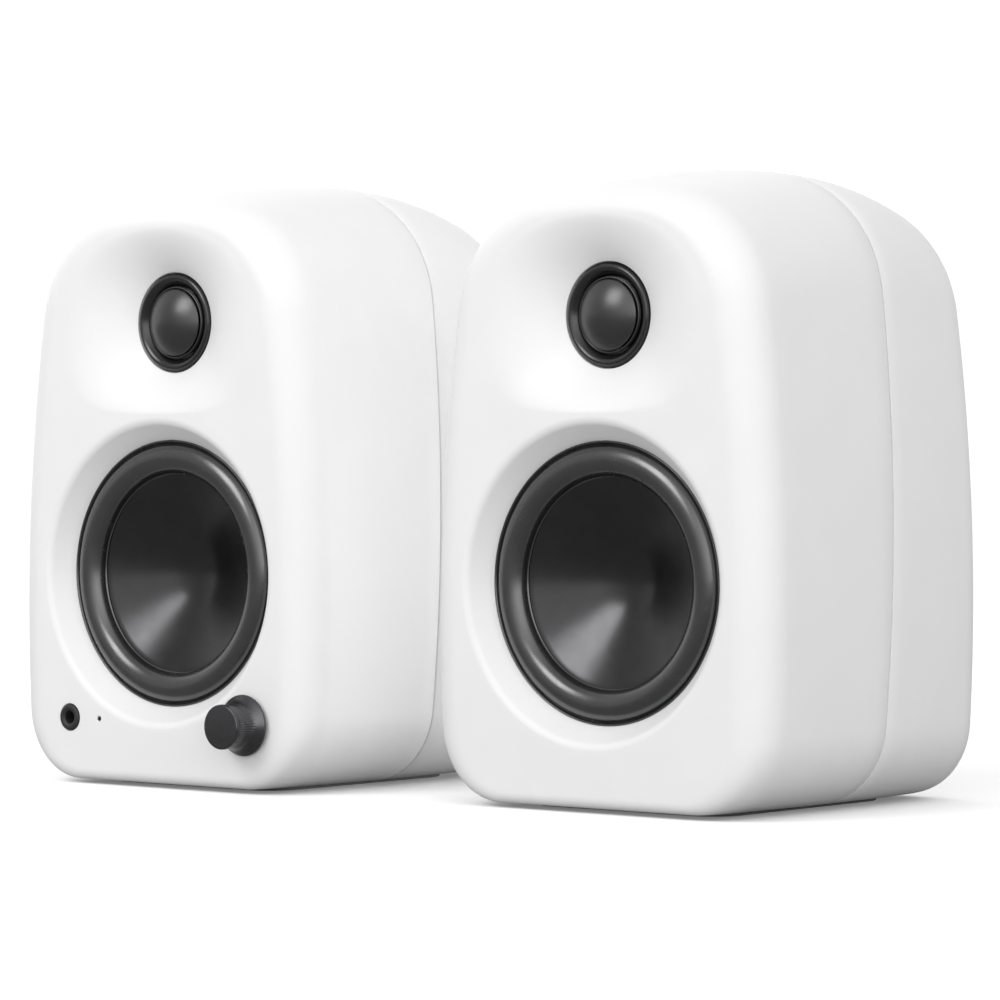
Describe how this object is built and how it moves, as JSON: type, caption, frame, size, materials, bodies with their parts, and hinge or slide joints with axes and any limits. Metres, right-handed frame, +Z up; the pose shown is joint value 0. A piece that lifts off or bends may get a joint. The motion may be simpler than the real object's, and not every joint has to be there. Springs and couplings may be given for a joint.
{
  "type": "desktop speakers",
  "caption": "Compact powered desktop speakers with rounded white cabinets, woofers, dome tweeters, a front volume knob and rear connectors.",
  "frame": {"origin": "on the desk under the middle of the pair's bounding box", "axes": "+X along the row of cabinets from the active to the passive one, -Y the way the drivers face, +Z up"},
  "size_m": [0.264, 0.1314, 0.1712],
  "materials": {
    "white_abs": "fine matt moulded ABS, white",
    "foot_rubber": "matt moulded rubber",
    "stamped_steel": "stamped steel, black e-coat",
    "surround_rubber": "satin moulded butyl rubber",
    "coated_cone": "satin coated pressed cone",
    "copper_wire": "enamelled copper wire",
    "treated_cotton": "resin-treated cotton",
    "plated_steel": "zinc-plated turned steel",
    "ferrite": "sintered ferrite",
    "gloss_black_abs": "gloss black moulded ABS",
    "coated_silk": "coated silk, satin",
    "black_abs": "fine-textured black ABS",
    "knob_finish": "satin charcoal paint",
    "nickel_plate": "nickel plated",
    "clear_acrylic": "clear moulded acrylic light pipe",
    "circuit_board": "green solder mask on glass-epoxy",
    "black_steel": "black oxide steel",
    "red_abs": "gloss red moulded ABS",
    "black_aluminium": "black anodised extrusion"
  },
  "bodies": {
    "active_cabinet": {"active_front_shell": "white_abs", "active_rear_shell": "white_abs", "active_foot_pad": "foot_rubber", "active_woofer_basket": "stamped_steel", "active_woofer_surround": "surround_rubber", "active_spider": "treated_cotton", "active_top_plate": "plated_steel", "active_magnet": "ferrite", "active_pole_yoke": "plated_steel", "active_tweeter_faceplate": "gloss_black_abs", "active_tweeter_suspension": "coated_silk", "active_tweeter_motor": "plated_steel", "active_port_tube": "black_abs", "encoder_body": "nickel_plate", "headphone_jack": "black_abs", "status_light": "clear_acrylic", "control_board": "circuit_board", "active_rear_panel": "black_abs", "panel_screw_1": "black_steel", "panel_screw_2": "black_steel", "panel_screw_3": "black_steel", "panel_screw_4": "black_steel", "rca_left": "nickel_plate", "rca_right": "nickel_plate", "rca_sub_out": "nickel_plate", "dc_inlet": "black_abs", "usb_c_socket": "nickel_plate", "active_terminal_block": "black_abs", "amplifier_board": "circuit_board", "heat_sink": "black_aluminium"},
    "volume_push": {"encoder_plunger": "black_abs"},
    "volume_dial": {"volume_knob": "knob_finish", "encoder_shaft": "nickel_plate"},
    "active_woofer_moving": {"active_woofer_cone": "coated_cone", "active_voice_coil": "copper_wire"},
    "active_tweeter_moving": {"active_tweeter_dome": "coated_silk"},
    "active_lever_positive": {"active_clip_lever_positive": "red_abs"},
    "active_lever_negative": {"active_clip_lever_negative": "black_abs"},
    "passive_cabinet": {"passive_front_shell": "white_abs", "passive_rear_shell": "white_abs", "passive_foot_pad": "foot_rubber", "passive_woofer_basket": "stamped_steel", "passive_woofer_surround": "surround_rubber", "passive_spider": "treated_cotton", "passive_top_plate": "plated_steel", "passive_magnet": "ferrite", "passive_pole_yoke": "plated_steel", "passive_tweeter_faceplate": "gloss_black_abs", "passive_tweeter_suspension": "coated_silk", "passive_tweeter_motor": "plated_steel", "passive_port_tube": "black_abs", "passive_terminal_plate": "black_abs", "passive_terminal_block": "black_abs", "crossover_board": "circuit_board", "crossover_coil": "copper_wire"},
    "passive_woofer_moving": {"passive_woofer_cone": "coated_cone", "passive_voice_coil": "copper_wire"},
    "passive_tweeter_moving": {"passive_tweeter_dome": "coated_silk"},
    "passive_lever_positive": {"passive_clip_lever_positive": "red_abs"},
    "passive_lever_negative": {"passive_clip_lever_negative": "black_abs"}
  },
  "joints": [
    {"name": "volume_press", "type": "slide", "parent": "active_cabinet", "child": "volume_push", "axis": [0, 1, 0], "range_m": [0, 0.0006], "stiffness_N_per_m": 3000},
    {"name": "volume_turn", "type": "hinge", "parent": "volume_push", "child": "volume_dial", "pos_m": [-0.03875, -0.05515, 0.0193], "axis": [0, -1, 0], "continuous": true},
    {"name": "active_woofer_travel", "type": "slide", "parent": "active_cabinet", "child": "active_woofer_moving", "axis": [0, -1, 0], "range_m": [-0.0025, 0.0025], "stiffness_N_per_m": 1000, "deforming": ["active_woofer_surround", "active_spider"]},
    {"name": "active_tweeter_travel", "type": "slide", "parent": "active_cabinet", "child": "active_tweeter_moving", "axis": [0, -1, 0], "range_m": [-0.0002, 0.0002], "stiffness_N_per_m": 3000, "deforming": ["active_tweeter_suspension"]},
    {"name": "active_positive_clip_press", "type": "hinge", "parent": "active_cabinet", "child": "active_lever_positive", "pos_m": [-0.06815, 0.04985, 0.0453], "axis": [-1, 0, 0], "range_deg": [0, 18], "stiffness_Nm_per_rad": 0.05},
    {"name": "active_negative_clip_press", "type": "hinge", "parent": "active_cabinet", "child": "active_lever_negative", "pos_m": [-0.05415, 0.04985, 0.0453], "axis": [-1, 0, 0], "range_deg": [0, 18], "stiffness_Nm_per_rad": 0.05},
    {"name": "passive_speaker_spacing", "type": "slide", "parent": "active_cabinet", "child": "passive_cabinet", "axis": [1, 0, 0], "range_m": [-0.025, 0.4]},
    {"name": "passive_woofer_travel", "type": "slide", "parent": "passive_cabinet", "child": "passive_woofer_moving", "axis": [0, -1, 0], "range_m": [-0.0025, 0.0025], "stiffness_N_per_m": 1000, "deforming": ["passive_woofer_surround", "passive_spider"]},
    {"name": "passive_tweeter_travel", "type": "slide", "parent": "passive_cabinet", "child": "passive_tweeter_moving", "axis": [0, -1, 0], "range_m": [-0.0002, 0.0002], "stiffness_N_per_m": 3000, "deforming": ["passive_tweeter_suspension"]},
    {"name": "passive_positive_clip_press", "type": "hinge", "parent": "passive_cabinet", "child": "passive_lever_positive", "pos_m": [0.06615, 0.06105, 0.0573], "axis": [-1, 0, 0], "range_deg": [0, 18], "stiffness_Nm_per_rad": 0.05},
    {"name": "passive_negative_clip_press", "type": "hinge", "parent": "passive_cabinet", "child": "passive_lever_negative", "pos_m": [0.08015, 0.06105, 0.0573], "axis": [-1, 0, 0], "range_deg": [0, 18], "stiffness_Nm_per_rad": 0.05}
  ]
}
